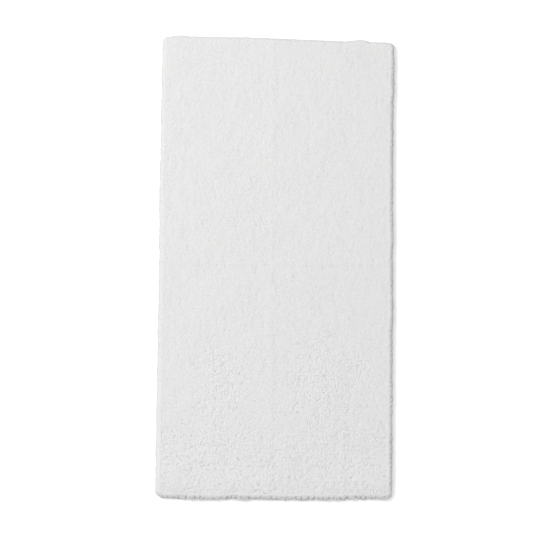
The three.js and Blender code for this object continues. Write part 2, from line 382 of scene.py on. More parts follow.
class Nodes:
    def __init__(self, nt):
        self.nt = nt

    def new(self, kind, **props):
        n = self.nt.nodes.new(kind)
        for k, v in props.items():
            setattr(n, k, v)
        return n

    def link(self, a, b):
        self.nt.links.new(a, b)

    def put(self, socket, value):
        if hasattr(value, "is_output"):
            self.link(value, socket)
        else:
            socket.default_value = value

    def math(self, op, a, b=0.0, clamp=False):
        n = self.new("ShaderNodeMath", operation=op, use_clamp=clamp)
        self.put(n.inputs[0], a)
        self.put(n.inputs[1], b)
        return n.outputs[0]

    def mix(self, f, a, b):
        n = self.new("ShaderNodeMix", data_type="RGBA")
        self.put(n.inputs[0], f)
        for s, v in ((n.inputs[6], a), (n.inputs[7], b)):
            self.put(s, (*v, 1) if isinstance(v, tuple) and len(v) == 3 else v)
        return n.outputs[2]

    def ramp(self, f, low, high, a=0.0, b=1.0):
        n = self.new("ShaderNodeMapRange", interpolation_type="SMOOTHSTEP")
        self.put(n.inputs[0], f)
        n.inputs[1].default_value, n.inputs[2].default_value = low, high
        n.inputs[3].default_value, n.inputs[4].default_value = a, b
        return n.outputs[0]

    def noise(self, where, scale, detail=2.0, rough=0.5, stretch=None):
        if stretch is not None:
            m = self.new("ShaderNodeMapping")
            self.link(where, m.inputs["Vector"])
            m.inputs["Scale"].default_value = stretch
            where = m.outputs[0]
        n = self.new("ShaderNodeTexNoise")
        self.link(where, n.inputs["Vector"])
        n.inputs["Scale"].default_value = scale
        n.inputs["Detail"].default_value = detail
        n.inputs["Roughness"].default_value = rough
        return n.outputs["Fac"]

    def place(self):
        return self.new("ShaderNodeTexCoord").outputs["Object"]

    def split(self, v):
        n = self.new("ShaderNodeSeparateXYZ")
        self.link(v, n.inputs[0])
        return n.outputs

    def bump(self, height, strength, distance, normal=None):
        n = self.new("ShaderNodeBump")
        n.inputs["Strength"].default_value = strength
        n.inputs["Distance"].default_value = distance
        self.link(height, n.inputs["Height"])
        if normal is not None:
            self.link(normal, n.inputs["Normal"])
        return n.outputs["Normal"]


def yarn_material():
    m, nt, p = new_material("pile_yarn", (0.85, 0.85, 0.845), 0.93, sheen=0.25, spec=0.15)
    k = Nodes(nt)
    a = k.new("ShaderNodeAttribute", attribute_name="yarn", attribute_type="GEOMETRY")
    rand, along, rough = k.split(a.outputs["Vector"])
    where = k.place()
    tip = k.mix(rand, TIP_A, TIP_B)
    tip = k.mix(k.math("MULTIPLY", rough, 0.38), tip, (0.830, 0.830, 0.828))  # tousled yarns are painted a little paler, painted light that offsets the deeper shade among them
    # each yarn is painted darker from its tip down to its root, painted shade deep in the pile
    colour = k.mix(k.ramp(along, 0.0, 0.9), ROOT_PAINTED_SHADE, tip)
    soft = k.ramp(k.noise(where, 14.0, 3.0), 0.3, 0.7)
    colour = k.mix(k.math("MULTIPLY", soft, 0.15), colour, tuple(0.95 * c for c in TIP_A))
    # fibres run down each yarn, and their cut ends show as a fine grain on its tip; the low parts of this relief are
    # painted darker towards the root's shaded colour, partly the fibres' own grain and partly painted shade in the
    # grooves
    b = k.new("ShaderNodeAttribute", attribute_name="fibre", attribute_type="GEOMETRY")
    strand = k.noise(b.outputs["Vector"], 3.4, 2.0, 0.6, stretch=(1.0, 1.0, 0.35))
    grain = k.noise(where, 2200.0, 2.0, 0.6)
    height = k.math("ADD", k.math("MULTIPLY", strand, 0.8), grain)
    colour = k.mix(k.math("MULTIPLY", k.ramp(strand, 0.62, 0.36), 0.12), colour, ROOT_PAINTED_SHADE)
    colour = k.mix(k.math("MULTIPLY", k.ramp(grain, 0.52, 0.36), 0.16), colour, tuple(0.9 * c for c in ROOT_PAINTED_SHADE))
    k.link(colour, p.inputs["Base Color"])
    k.link(k.math("ADD", 0.84, k.math("MULTIPLY", k.noise(where, 900.0, 1.0), 0.16)), p.inputs["Roughness"])
    k.link(k.bump(height, 0.7, 0.0004), p.inputs["Normal"])
    return m


def ground_material():
    m, nt, p = new_material("pile_ground", (0.76, 0.755, 0.745), 0.96, sheen=0.15, spec=0.1)
    k = Nodes(nt)
    where = k.place()
    n = k.noise(where, 520.0, 3.0, 0.65)
    k.link(k.mix(k.ramp(n, 0.3, 0.7), (0.745, 0.743, 0.735), (0.815, 0.814, 0.810)), p.inputs["Base Color"])
    k.link(k.math("ADD", 0.88, k.math("MULTIPLY", n, 0.12)), p.inputs["Roughness"])
    k.link(k.bump(n, 0.6, 0.0005), p.inputs["Normal"])
    return m


def weave_material(name, a, b, pitch, twill, rough=0.85, strength=0.6):
    """Crossed yarns of a woven cloth or tape, at their real pitch in metres."""
    m, nt, p = new_material(name, a, rough, sheen=0.15, spec=0.2)
    k = Nodes(nt)
    where = k.place()
    x, y, _ = k.split(where)
    w = 2 * math.pi / pitch
    s1 = k.math("SINE", k.math("MULTIPLY", x, w))
    s2 = k.math("SINE", k.math("MULTIPLY", y, w))
    if twill:
        d = k.math("SINE", k.math("MULTIPLY", k.math("ADD", x, y), w * 0.5))
        h = k.math("ADD", k.math("MULTIPLY", d, 0.6), k.math("MULTIPLY", k.math("MULTIPLY", s1, s2), 0.4))
    else:
        h = k.math("MULTIPLY", s1, s2)
    h01 = k.ramp(h, -1.0, 1.0)
    slub = k.noise(where, 420.0, 2.0, 0.6)
    colour = k.mix(h01, b, a)
    colour = k.mix(k.math("MULTIPLY", k.ramp(slub, 0.35, 0.7), 0.35), colour, b)
    k.link(colour, p.inputs["Base Color"])
    k.link(k.math("ADD", rough - 0.05, k.math("MULTIPLY", slub, 0.12)), p.inputs["Roughness"])
    k.link(k.bump(k.math("ADD", h01, k.math("MULTIPLY", slub, 0.5)), strength, pitch * 0.3), p.inputs["Normal"])
    return m


def rubber_material(name, a, b, rough, ribs, spec=0.4):
    """A sprayed skin over the backs of the tuft rows: dull, faintly ribbed, a little uneven in colour."""
    m, nt, p = new_material(name, a, rough, spec=spec)
    k = Nodes(nt)
    where = k.place()
    x, y, _ = k.split(where)
    cloud = k.noise(where, 22.0, 4.0, 0.6)
    grain = k.noise(where, 700.0, 2.0, 0.6)
    colour = k.mix(k.ramp(cloud, 0.35, 0.65), a, b)
    h = k.math("MULTIPLY", grain, 0.5)
    if ribs:
        wob = k.math("MULTIPLY", k.noise(where, 90.0, 1.0), 0.0016)
        s = k.math("SINE", k.math("MULTIPLY", k.math("ADD", x, wob), 2 * math.pi / 0.0036))
        row = k.ramp(s, -1.0, 1.0)
        stitch = k.ramp(k.math("SINE", k.math("MULTIPLY", k.math("ADD", y, wob), 2 * math.pi / 0.0031)), -1.0, 1.0)
        back = k.math("ADD", row, k.math("MULTIPLY", k.math("MULTIPLY", row, stitch), 0.6))
        h = k.math("ADD", h, back)
        colour = k.mix(k.math("MULTIPLY", row, 0.35), colour, tuple(min(1.0, c * 1.09) for c in a))
    k.link(colour, p.inputs["Base Color"])
    k.link(k.math("ADD", rough - 0.08, k.math("MULTIPLY", cloud, 0.2)), p.inputs["Roughness"])
    k.link(k.bump(h, 0.7, 0.0005), p.inputs["Normal"])
    return m


def thread_material():
    m, nt, p = new_material("sewing_thread", (0.88, 0.875, 0.86), 0.6, sheen=0.2, spec=0.35)
    k = Nodes(nt)
    where = k.place()
    x, y, z = k.split(where)
    ply = k.math("SINE", k.math("MULTIPLY", k.math("ADD", k.math("ADD", x, y), k.math("MULTIPLY", z, 0.7)), 2 * math.pi / 0.0008))
    h = k.ramp(ply, -1.0, 1.0)
    k.link(k.mix(h, (0.78, 0.775, 0.76), (0.90, 0.897, 0.885)), p.inputs["Base Color"])
    k.link(k.math("ADD", 0.52, k.math("MULTIPLY", k.noise(where, 1500.0, 1.0), 0.2)), p.inputs["Roughness"])
    k.link(k.bump(h, 0.6, 0.0002), p.inputs["Normal"])
    return m


YARN = yarn_material()
GROUND = ground_material()
CLOTH = weave_material("backing_weave", (0.80, 0.775, 0.71), (0.62, 0.59, 0.52), 0.0016, False)
LATEX = rubber_material("latex_skin", (0.74, 0.715, 0.645), (0.68, 0.655, 0.585), 0.62, True)
COAT = rubber_material("antislip_skin", (0.765, 0.75, 0.71), (0.72, 0.705, 0.66), 0.55, True)
DOTS = rubber_material("grip_dots", (0.83, 0.825, 0.80), (0.79, 0.785, 0.755), 0.36, False, spec=0.5)
TAPE = weave_material("hem_twill", (0.83, 0.825, 0.80), (0.70, 0.695, 0.665), 0.0009, True)
THREAD = thread_material()
LABEL = weave_material("label_satin", (0.90, 0.90, 0.895), (0.84, 0.84, 0.835), 0.0005, False, rough=0.5, strength=0.25)


def wear(ob, material):
    ob.data.materials.clear()
    ob.data.materials.append(material)
    return ob


def across_fold(ob):
    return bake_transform(ob)


# ---- camera ------------------------------------------------------------------------
cam = bpy.data.cameras.new("camera")
cam.lens = 192
cam.sensor_width = 36
cam.clip_end = 60
cam_ob = bpy.data.objects.new("camera", cam)
bpy.context.scene.collection.objects.link(cam_ob)
ELEVATION, DISTANCE, ROLL = 82.0, 7.3, 0.58
TARGET = Vector((-0.0235, -0.0020, 0.018))
e = math.radians(ELEVATION)
back = Vector((0, -math.cos(e), math.sin(e)))
cam_ob.location = TARGET + back * DISTANCE
right = Vector((1, 0, 0))
up = back.cross(right)
turn = Matrix.Rotation(math.radians(ROLL), 4, back)
frame3 = Matrix((right, up, back)).transposed().to_4x4()
cam_ob.matrix_world = Matrix.Translation(cam_ob.location) @ turn @ frame3
bpy.context.scene.camera = cam_ob

# ---- the pile's surface and the ground under it ----------------------------------------
TOP = 19.7  # tip height of even pile
EDGE_R, EDGE_V = 10.5, 9.0  # the shoulder's quarter ellipse: how far in it starts, and how far it drops
GROUND_INSET = 5.5


def edge_in(x, y):
    """How far a place is in from the pile's outline."""
    return np.minimum(X1 - np.abs(x), Y1 - np.abs(y))


def streaks(x, y):
    """Soft dimples between little groups of tufts, longer than wide."""
    return vnoise(x, y, 6.5, 13.0, 43) * 0.62 + vnoise(x, y, 12.0, 24.0, 44) * 0.38


def tousle(x, y):
    return vnoise(x, y, 9.0, 12.0, 62) * 0.6 + vnoise(x, y, 19.0, 23.0, 64) * 0.4


def locks(x, y, sx=8.2, sy=10.5, seed=45):
    """Neighbouring tufts cling together in little locks: the way to the lock's centre, and 1 on the crease between two locks falling to 0 inside them."""
    jig = np.random.default_rng(seed).random((2, 256, 256)) * 0.86 + 0.07
    u, v = np.asarray(x) / sx + 500, np.asarray(y) / sy + 500
    i, j = np.floor(u).astype(int), np.floor(v).astype(int)
    best = np.full(u.shape, 9.0)
    second, bx, by = best.copy(), best.copy(), best.copy()
    for di in (-1, 0, 1):
        for dj in (-1, 0, 1):
            a, b = (i + di) % 256, (j + dj) % 256
            dx, dy = i + di + jig[0, a, b] - u, j + dj + jig[1, a, b] - v
            d = np.hypot(dx, dy)
            nearer = d < best
            second = np.where(nearer, best, np.minimum(second, d))
            bx, by = np.where(nearer, dx, bx), np.where(nearer, dy, by)
            best = np.where(nearer, d, best)
    return bx * sx, by * sy, smooth(0.42, 0.0, second - best)


def hollows(x, y, cell=10.0, seed=63):
    """Small hollows, one in some cells of a jittered grid, round or drawn out a little: 1 in the middle and 0 outside."""
    rnd = np.random.default_rng(seed).random((6, 256, 256))
    u, v = np.asarray(x) / cell + 500, np.asarray(y) / cell + 500
    i, j = np.floor(u).astype(int), np.floor(v).astype(int)
    share = 0.03 + 0.47 * rough_part(x, y)
    deep = np.zeros(u.shape)
    for di in (-1, 0, 1):
        for dj in (-1, 0, 1):
            c = rnd[:, (i + di) % 256, (j + dj) % 256]
            dx, dy = (i + di + 0.1 + 0.8 * c[0] - u) * cell, (j + dj + 0.1 + 0.8 * c[1] - v) * cell
            t, size, drawn = c[2] * math.pi, 2.1 + 1.5 * c[4], 1 + 2.2 * c[3] ** 5
            p, q = dx * np.cos(t) + dy * np.sin(t), dy * np.cos(t) - dx * np.sin(t)
            d2 = (p / (size * drawn)) ** 2 + (q / size) ** 2
            deep = np.maximum(deep, np.exp(-d2) * (c[5] < share) * (0.55 + 0.45 * c[4]))
    return deep


def relief(x, y):
    r = rough_part(x, y)
    return folds(x, y) + lumps(x, y) + (1 - r) * streaks(x, y) * 0.50 + r * tousle(x, y) * 0.38 - 4.8 * np.clip(1 - (y + Y1) / 46, 0, 1) ** 2


def ground_top(x, y):
    d = np.clip((edge_in(x, y) - GROUND_INSET) / 5.5, 0, 1)
    drop = 6.5 * (1 - np.sqrt(np.clip(1 - (1 - d) ** 2, 0, 1)))
    return TOP - 1.0 - 0.35 * rough_part(x, y) + relief(x, y) - 0.9 * hollows(x, y) * (0.75 + 0.60 * rough_part(x, y)) - 1.7 * hollows(x, y, 24.0, 66) * rough_part(x, y) - drop


ground = layer("pile_ground", GROUND_INSET, ground_top, CLOTH_Z[1] + 0.3, step=4.4, hem=False)
wear(ground, GROUND)
across_fold(ground)
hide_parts("near_pile", "far_pile")

# ---- tufts over the face -------------------------------------------------------------
# Each tuft is placed by its tip, so that the tips cover the face and the rounded edges evenly, and its root is set back along its lean.
PITCH = 3.5
BAND = 13.0
rng = np.random.default_rng(5)
gx = np.linspace(-X1 + BAND, X1 - BAND, 1 + round(2 * (X1 - BAND) / PITCH))
gy = np.linspace(-Y1 + BAND, Y1 - BAND, 1 + round(2 * (Y1 - BAND) / (PITCH * 0.97)))
tx, ty = np.meshgrid(gx, gy, indexing="ij")
tx = tx + (np.arange(len(gy)) % 2 - 0.5)[None] * PITCH * 0.5
tx, ty = tx.ravel(), ty.ravel()
n = len(tx)
r0 = rough_part(tx, ty)
tx = tx + rng.normal(0, 0.11 + 0.05 * r0, n) * PITCH
ty = ty + rng.normal(0, 0.11 + 0.05 * r0, n) * PITCH


def lean(x, y, r, count):
    """The nap. Even pile stands nearly upright; tousled pile sweeps up and down the mat in locks, a little aside here and there."""
    even_x = vnoise(x, y, 7.0, 14.0, 51) * 0.05 + vnoise(x, y, 15, 34, 52) * 0.06
    even_y = vnoise(x, y, 7.0, 14.0, 53) * 0.04 + vnoise(x, y, 16, 34, 54) * 0.06 - 0.05
    sweep = vnoise(x, y, 12, 20, 55) * 0.09 + vnoise(x, y, 46, 60, 57) * 0.10
    wild_x = vnoise(x, y, 12, 18, 56) * 0.08
    lx = even_x * (1 - r) + wild_x * r + rng.normal(0, 0.02 + 0.01 * r, count)
    ly = even_y * (1 - r) + (sweep - 0.08) * r + rng.normal(0, 0.02 + 0.01 * r, count)
    return lx, ly


lx, ly = lean(tx, ty, r0, n)
cx, cy, crease = locks(tx, ty)
cling = 0.06 + 0.08 * r0
tx, ty = tx + cx * cling, ty + cy * cling
lx, ly = lx + cx * (0.008 + 0.012 * r0), ly + cy * (0.008 + 0.012 * r0)
way = np.stack([lx, ly, np.ones(n)], -1)
tip_z = TOP + relief(tx, ty) - crease * (0.06 + 0.13 * r0) * (0.7 + 0.6 * rng.random(n)) + rng.normal(0, 0.03 + 0.03 * r0, n)
tip_z = tip_z - hollows(tx, ty) * (0.75 + 0.60 * r0) - hollows(tx, ty, 24.0, 66) * 1.9 * r0
tip_z = np.minimum(tip_z, HIGHEST - 0.35)
tips = np.stack([tx, ty, tip_z], -1)
length = 6.2 + 1.6 * r0
bow = np.stack([lx, ly, np.zeros(n)], -1) * (0.5 + 0.9 * r0)[:, None]
radius = PITCH * (0.88 + rng.normal(0, 0.03, n))
rough = r0


# ---- tufts round the edge, which fan outwards and droop --------------------------------
def outline(inset, step, shift=0.5):
    """Points along the pile's outline, drawn in by inset, with their outward directions."""
    r = max(CORNER_R - inset, 3.0)
    cx, cy = X1 - inset - r, Y1 - inset - r
    pts, outs = [], []
    for x0, y0, x1, y1, nx, ny in (
        (-cx, -cy - r, cx, -cy - r, 0, -1), (cx + r, -cy, cx + r, cy, 1, 0),
        (cx, cy + r, -cx, cy + r, 0, 1), (-cx - r, cy, -cx - r, -cy, -1, 0),
    ):
        m = max(2, int(round(math.hypot(x1 - x0, y1 - y0) / step)))
        t = (np.arange(m) + shift) / m
        pts.append(np.stack([x0 + (x1 - x0) * t, y0 + (y1 - y0) * t], -1))
        outs.append(np.tile([nx, ny], (m, 1)).astype(float))
    for sx, sy in ((-1, -1), (1, -1), (1, 1), (-1, 1)):
        m = max(3, int(round((r + 2) * math.pi / 2 / step)))
        a = (np.arange(m) + 0.5) / m * math.pi / 2
        d = np.stack([sx * np.cos(a), sy * np.sin(a)], -1)
        pts.append(np.array([sx * cx, sy * cy]) + d * r)
        outs.append(d)
    return np.concatenate(pts), np.concatenate(outs)


# rows down the pile's rounded edge, at even steps along it: inset, height below TOP, outward and upward lean
bend_a = np.linspace(math.pi / 2, 0, 400)
run_d = np.concatenate([[BAND - PITCH * 0.5], EDGE_R * (1 - np.cos(bend_a)), np.linspace(0.05, 1.6, 40)])
run_z = np.concatenate([[0.0], EDGE_V * (1 - np.sin(bend_a)), EDGE_V + np.linspace(0.1, TOP - EDGE_V - 2.2, 40)])
run_o = np.concatenate([[0.0], np.cos(bend_a) / EDGE_R, np.full(40, 1 / EDGE_R)])
run_u = np.concatenate([[1.0], 1.3 * np.sin(bend_a) / EDGE_V, np.linspace(0, -0.55 / EDGE_R, 40)])
run_s = np.concatenate([[0], np.cumsum(np.hypot(np.diff(run_d), np.diff(run_z)))])
n_rows = int(round(run_s[-1] / (PITCH * 0.90)))
parts = []
for i in range(n_rows + 1):
    s_at = run_s[-1] * i / n_rows
    d, dz, o, u = (float(np.interp(s_at, run_s, v)) for v in (run_d, run_z, run_o, run_u))
    size = math.hypot(o, u)
    o, u = o / size, u / size
    p2, o2 = outline(d, PITCH * (0.93 + 0.05 * (i % 3)), 0.25 + 0.5 * (i % 2))
    m = len(p2)
    along = np.stack([-o2[:, 1], o2[:, 0]], -1)
    s = (p2 * along).sum(1) + o2 @ np.array([1234.0, 777.0])
    low = smooth(0.25, 1.0, i / n_rows)
    near_side = np.maximum(np.clip(-o2[:, 1], 0, 1), 0.35 * np.clip(o2[:, 0], 0, 1))  # the near edge is the most ragged, then the right one
    clump = vnoise(s, s * 0 + i * 0.6, 8.0, 1.6, 71)
    lock = vnoise(s, s * 0 + 3, 17, 1, 72)
    phase = s / 14.0 + 0.7 * vnoise(s, s * 0 + 5, 37, 1, 74)
    off = phase - np.floor(phase) - 0.5
    part_ = np.random.default_rng(75).random(4096)[np.floor(phase).astype(int) % 4096]  # how far each lock parts from the next
    wide = 0.14 + 0.26 * np.random.default_rng(76).random(4096)[np.floor(phase + 0.5).astype(int) % 4096]
    gap = smooth(0.5 - wide, 0.5, np.abs(off)) * (0.05 + 1.45 * part_**1.7)
    open_ = smooth(0.0, 0.5, i / n_rows) * (0.25 + 3.6 * near_side)
    proud = low * ((0.95 * clump + 1.35 * lock + rng.normal(0, 0.5, m)) * (1.0 + 0.4 * near_side) + (1.3 * part_ - 0.4) * (0.8 + 0.9 * near_side)) - 1.5 * gap * open_
    jog = rng.normal(0, 1, m) * PITCH * (0.10 + 0.11 * low) - off * 13.0 * 0.22 * part_ * low
    flat2 = p2 + along * jog[:, None] + o2 * (proud + 0.5 * low + rng.normal(0, 0.35, m))[:, None]
    rr = rough_part(flat2[:, 0], flat2[:, 1]) * (1 - low)
    lx, ly = lean(flat2[:, 0], flat2[:, 1], rr, m)
    fan = (0.20 + 0.35 * near_side) * vnoise(s, s * 0 + i * 0.4, 10, 2.5, 73) - off * 0.6 * part_ + rng.normal(0, 0.08, m)
    w3 = np.concatenate([o2 * o + along * (fan * low)[:, None], np.full((m, 1), u)], 1)
    w3[:, 0] += lx * (1 - low) * 0.7
    w3[:, 1] += ly * (1 - low) * 0.7
    w3[:, 2] += rng.normal(0, 0.07, m) * low
    z = TOP + relief(flat2[:, 0], flat2[:, 1]) * (1 - 0.7 * low) - dz - 0.6 * gap * open_ + rng.normal(0, 0.08 + 0.28 * low, m)
    z = np.clip(z, 1.9, HIGHEST - 0.35)
    b3 = np.concatenate([o2 * 0.3, np.full((m, 1), -1.3)], 1) * low
    ln = 6.4 + 2.0 * low
    parts.append((np.concatenate([flat2, z[:, None]], 1), w3, b3, np.full(m, ln),
                  PITCH * (0.84 - 0.19 * low + rng.normal(0, 0.03, m)), np.maximum(rr, 0.45 * low)))
et, ew, eb, el, ed, erough = (np.concatenate([q[i] for q in parts]) for i in range(6))

tips = np.concatenate([tips, et])
way = np.concatenate([way, ew])
way /= np.linalg.norm(way, axis=1, keepdims=True)
bow = np.concatenate([bow, eb])
length = np.concatenate([length, el])
radius = np.concatenate([radius, ed])
rough = np.concatenate([rough, erough])
root = tips - way * (length + 0.08 * radius)[:, None] - bow
root[:, 2] = np.maximum(root[:, 2], CLOTH_Z[1] + 0.6)

# the plan's waviness moves each tuft as a whole
px, py = plan(root[:, 0], root[:, 1])
fold_y = root[:, 1].copy()
root = np.stack([px, py, root[:, 2]], -1)

group = np.where(np.abs(fold_y) < RIGID, 0, np.where(fold_y < 0, 1, 2))
names = {1: "near", 2: "far"}
strip = group == 0
ob = tuft_mesh("pile_tufts_fold", root[strip], way[strip], bow[strip], length[strip], radius[strip], rough[strip], np.random.default_rng(90))
wear(ob, YARN)
across_fold(ob)
COLS, ROWS = 3, 4
for g in (1, 2):
    depth = (np.abs(fold_y) - RIGID) / (Y1 - RIGID)
    row = np.clip((depth * ROWS).astype(int), 0, ROWS - 1)
    col = np.clip(((root[:, 0] + X1) / (2 * X1) * COLS).astype(int), 0, COLS - 1)
    for r in range(ROWS):
        for c in range(COLS):
            pick = (group == g) & (row == r) & (col == c)
            ob = tuft_mesh(f"pile_tufts_{names[g]}_{r * COLS + c + 1}", root[pick], way[pick], bow[pick], length[pick], radius[pick], rough[pick],
                           np.random.default_rng(100 + g * 20 + r * COLS + c))
            wear(ob, YARN)
            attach(ob, f"{names[g]}_half")

# ---- yarns lying on the tousled parts ----------------------------------------------------
def lying(count, chance, angle, spread, bend, lengths, radii, sink, steps, seed):
    """Yarns that lie along the face: their paths, radii and starting places."""
    r = np.random.default_rng(seed)
    x, y = r.uniform(-X1 + 17, X1 - 17, count), r.uniform(-Y1 + 17, Y1 - 17, count)
    keep = (r.random(count) < chance(rough_part(x, y))) & (np.abs(y) > RIGID + 14)
    x, y = x[keep], y[keep]
    m = len(x)
    a = angle + np.where(r.random(m) < 0.5, math.pi, 0) + r.normal(0, spread, m)
    turn = r.normal(0, bend, m)
    ln = r.uniform(*lengths, m)
    path = np.empty((m, steps, 3))
    start = y.copy()
    for i in range(steps):
        path[:, i, 0], path[:, i, 1] = x, y
        x, y = x + np.cos(a) * ln / (steps - 1), y + np.sin(a) * ln / (steps - 1)
        a = a + turn
    path[:, :, 0] = np.clip(path[:, :, 0], -X1 + 9, X1 - 9)
    path[:, :, 1] = np.clip(path[:, :, 1], -Y1 + 9, Y1 - 9)
    d = np.clip(edge_in(path[:, :, 0], path[:, :, 1]) / EDGE_R, 0, 1)
    drop = EDGE_V * (1 - np.sqrt(np.clip(1 - (1 - d) ** 2, 0, 1)))
    rad = r.uniform(*radii, m)
    hump = np.sin(np.linspace(0, math.pi, steps))[None]
    z = TOP + relief(path[:, :, 0], path[:, :, 1]) - drop - sink * (1.6 - hump) * rad[:, None]
    path[:, :, 2] = np.minimum(z, HIGHEST - rad[:, None] - 0.1)
    px, py = plan(path[:, :, 0].ravel(), path[:, :, 1].ravel())
    path[:, :, 0], path[:, :, 1] = px.reshape(m, steps), py.reshape(m, steps)
    return path, rad, start


for label_, args in (
    ("lying_yarns", (360, lambda r: 0.01 + 0.75 * r**1.4, math.pi / 2, 0.42, 0.05, (9.0, 17.0), (1.5, 2.0), 0.92, 6, 70)),
    ("loose_fibres", (900, lambda r: 0.03 + 0.45 * r**1.4, math.pi / 2, 0.9, 0.14, (8.0, 16.0), (0.25, 0.42), 0.2, 7, 71)),
):
    path, rad, start = lying(*args)
    for g, part in (("near", start < 0), ("far", start > 0)):
        if not part.any():
            continue
        ob = thread_mesh(f"{label_}_{g}", path[part], rad[part], sides=6 if label_ == "lying_yarns" else 5, taper=0.7)
        wear(ob, YARN)
        at = ob.data.attributes.new("yarn", "FLOAT_VECTOR", "POINT")
        at.data.foreach_set("vector", np.tile(np.array([0.5, 0.95, 0.8], np.float32), len(ob.data.vertices)))
        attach(ob, f"{g}_half")

# ---- yarn loops pulled out along the near edge -------------------------------------------
r = np.random.default_rng(77)
lx0 = np.concatenate([r.uniform(-X1 + 24, X1 - 30, 26), X1 - np.array([22.0, 15.0, 10.5])])
m = len(lx0)
wide, out = r.uniform(1.6, 3.2, m), r.uniform(1.2, 3.4, m)
t = np.linspace(0, math.pi, 9)
loop = np.empty((m, 9, 3))
loop[:, :, 0] = lx0[:, None] - np.cos(t) * wide[:, None] + np.sin(t) * r.normal(0, 0.8, m)[:, None]
loop[:, :, 1] = -Y1 + 2.4 + np.maximum(np.abs(lx0) - X1 + 17, 0)[:, None] * 0.35 - np.sin(t) * (2.4 + out)[:, None]
loop[:, :, 2] = r.uniform(8.0, 14.0, m)[:, None] + np.sin(t) * r.normal(0, 1.2, m)[:, None]
px, py = plan(loop[:, :, 0].ravel(), loop[:, :, 1].ravel())
loop[:, :, 0], loop[:, :, 1] = px.reshape(m, 9), py.reshape(m, 9)
ob = thread_mesh("edge_loops_near", loop, r.uniform(0.75, 1.15, m), sides=6, taper=0.8)
wear(ob, YARN)
at = ob.data.attributes.new("yarn", "FLOAT_VECTOR", "POINT")
at.data.foreach_set("vector", np.tile(np.array([0.8, 0.95, 0.8], np.float32), len(ob.data.vertices)))
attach(ob, "near_half")

# ---- woven backing and latex skin ----------------------------------------------------------
cloth = layer("backing_cloth", BASE_INSET, CLOTH_Z[1], CLOTH_Z[0], step=12.0)
wear(cloth, CLOTH)
across_fold(cloth)
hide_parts("near_backing_cloth", "far_backing_cloth")
latex = layer("latex_coat", BASE_INSET + 0.6, LATEX_Z[1], LATEX_Z[0], step=12.0)
wear(latex, LATEX)
across_fold(latex)
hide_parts("near_latex_coat", "far_latex_coat")

# ---- anti-slip coat with grip dots -----------------------------------------------------------
COAT_IN = X1 - COAT_X
coat = layer("antislip_coat", COAT_IN, COAT_Z[1], COAT_Z[0] + 0.75, step=9.0)
wear(coat, COAT)
across_fold(coat)
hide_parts("near_antislip_coat", "far_antislip_coat")

DOT = 8.0
dx, dy = np.meshgrid(np.arange(-X1 + COAT_IN + 7, X1 - COAT_IN - 6, DOT), np.arange(-Y1 + COAT_IN + 7, Y1 - COAT_IN - 6, DOT * 0.866), indexing="ij")
dx = dx + (np.arange(dx.shape[1]) % 2)[None] * DOT / 2 - DOT / 4
dx, dy = dx.ravel(), dy.ravel()
label_box = [v * 1000 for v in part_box("care_label")]
free = ~((dx > label_box[0].x - 3) & (dx < label_box[1].x + 3) & (dy > label_box[0].y - 6) & (dy < label_box[1].y + 14))
dx, dy = dx[free], dy[free]


def dots(name, x, y, seed):
    """Low domes of soft rubber, each a little different, which stand on the coat and touch the floor."""
    r = np.random.default_rng(seed)
    n, s = len(x), 8
    size = 1.55 * (1 + r.normal(0, 0.07, n))
    tall = 0.85 * (1 + r.normal(0, 0.05, n))
    px, py = plan(x, y, True)
    a = np.arange(s) * 2 * math.pi / s
    rings = ((0.0, 1.0, 0.0), (0.55, 0.90, 0.0), (0.88, 0.60, 0.0))
    v = np.empty((n, s * 3 + 2, 3))
    for i, (f, w, _) in enumerate(rings):
        v[:, i * s:(i + 1) * s, 0] = px[:, None] + np.cos(a) * (size * w)[:, None]
        v[:, i * s:(i + 1) * s, 1] = py[:, None] + np.sin(a) * (size * w)[:, None]
        v[:, i * s:(i + 1) * s, 2] = (COAT_Z[0] + 0.85 - np.minimum(tall, 0.85) * f)[:, None]
    v[:, -2] = np.stack([px, py, COAT_Z[0] + 0.85 - np.minimum(tall, 0.85)], -1)
    v[:, -1] = np.stack([px, py, np.full(n, COAT_Z[0] + 0.85)], -1)
    quads, tris = [], []
    for i in range(2):
        for k in range(s):
            t = (k + 1) % s
            quads.append((i * s + t, i * s + k, (i + 1) * s + k, (i + 1) * s + t))
    for k in range(s):
        t = (k + 1) % s
        tris.append((2 * s + t, 2 * s + k, 3 * s))
        tris.append((k, t, 3 * s + 1))
    off = (np.arange(n) * (3 * s + 2))[:, None, None]
    ob = from_faces(name, v.reshape(-1, 3), [(np.array(quads)[None] + off).reshape(-1, 4), (np.array(tris)[None] + off).reshape(-1, 3)])
    return wear(ob, DOTS)


DOT_PART = np.where(np.abs(dy) < RIGID, 0, np.where(dy < 0, 1, 2))
dots_fold = dots("grip_dots_fold", dx[DOT_PART == 0], dy[DOT_PART == 0], 200)
across_fold(dots_fold)
for g, part in (("near", 1), ("far", 2)):
    for i, side in enumerate((dx < 0, dx >= 0)):
        pick = (DOT_PART == part) & side
        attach(dots(f"grip_dots_{g}_{i + 1}", dx[pick], dy[pick], 200 + part * 2 + i), f"{g}_half")

# ---- hem tapes ---------------------------------------------------------------------------------
TAPE_Z = [v.z * 1000 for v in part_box("near_end_hem_tape")]
IN0, IN1 = BASE_INSET, COAT_IN - 0.3


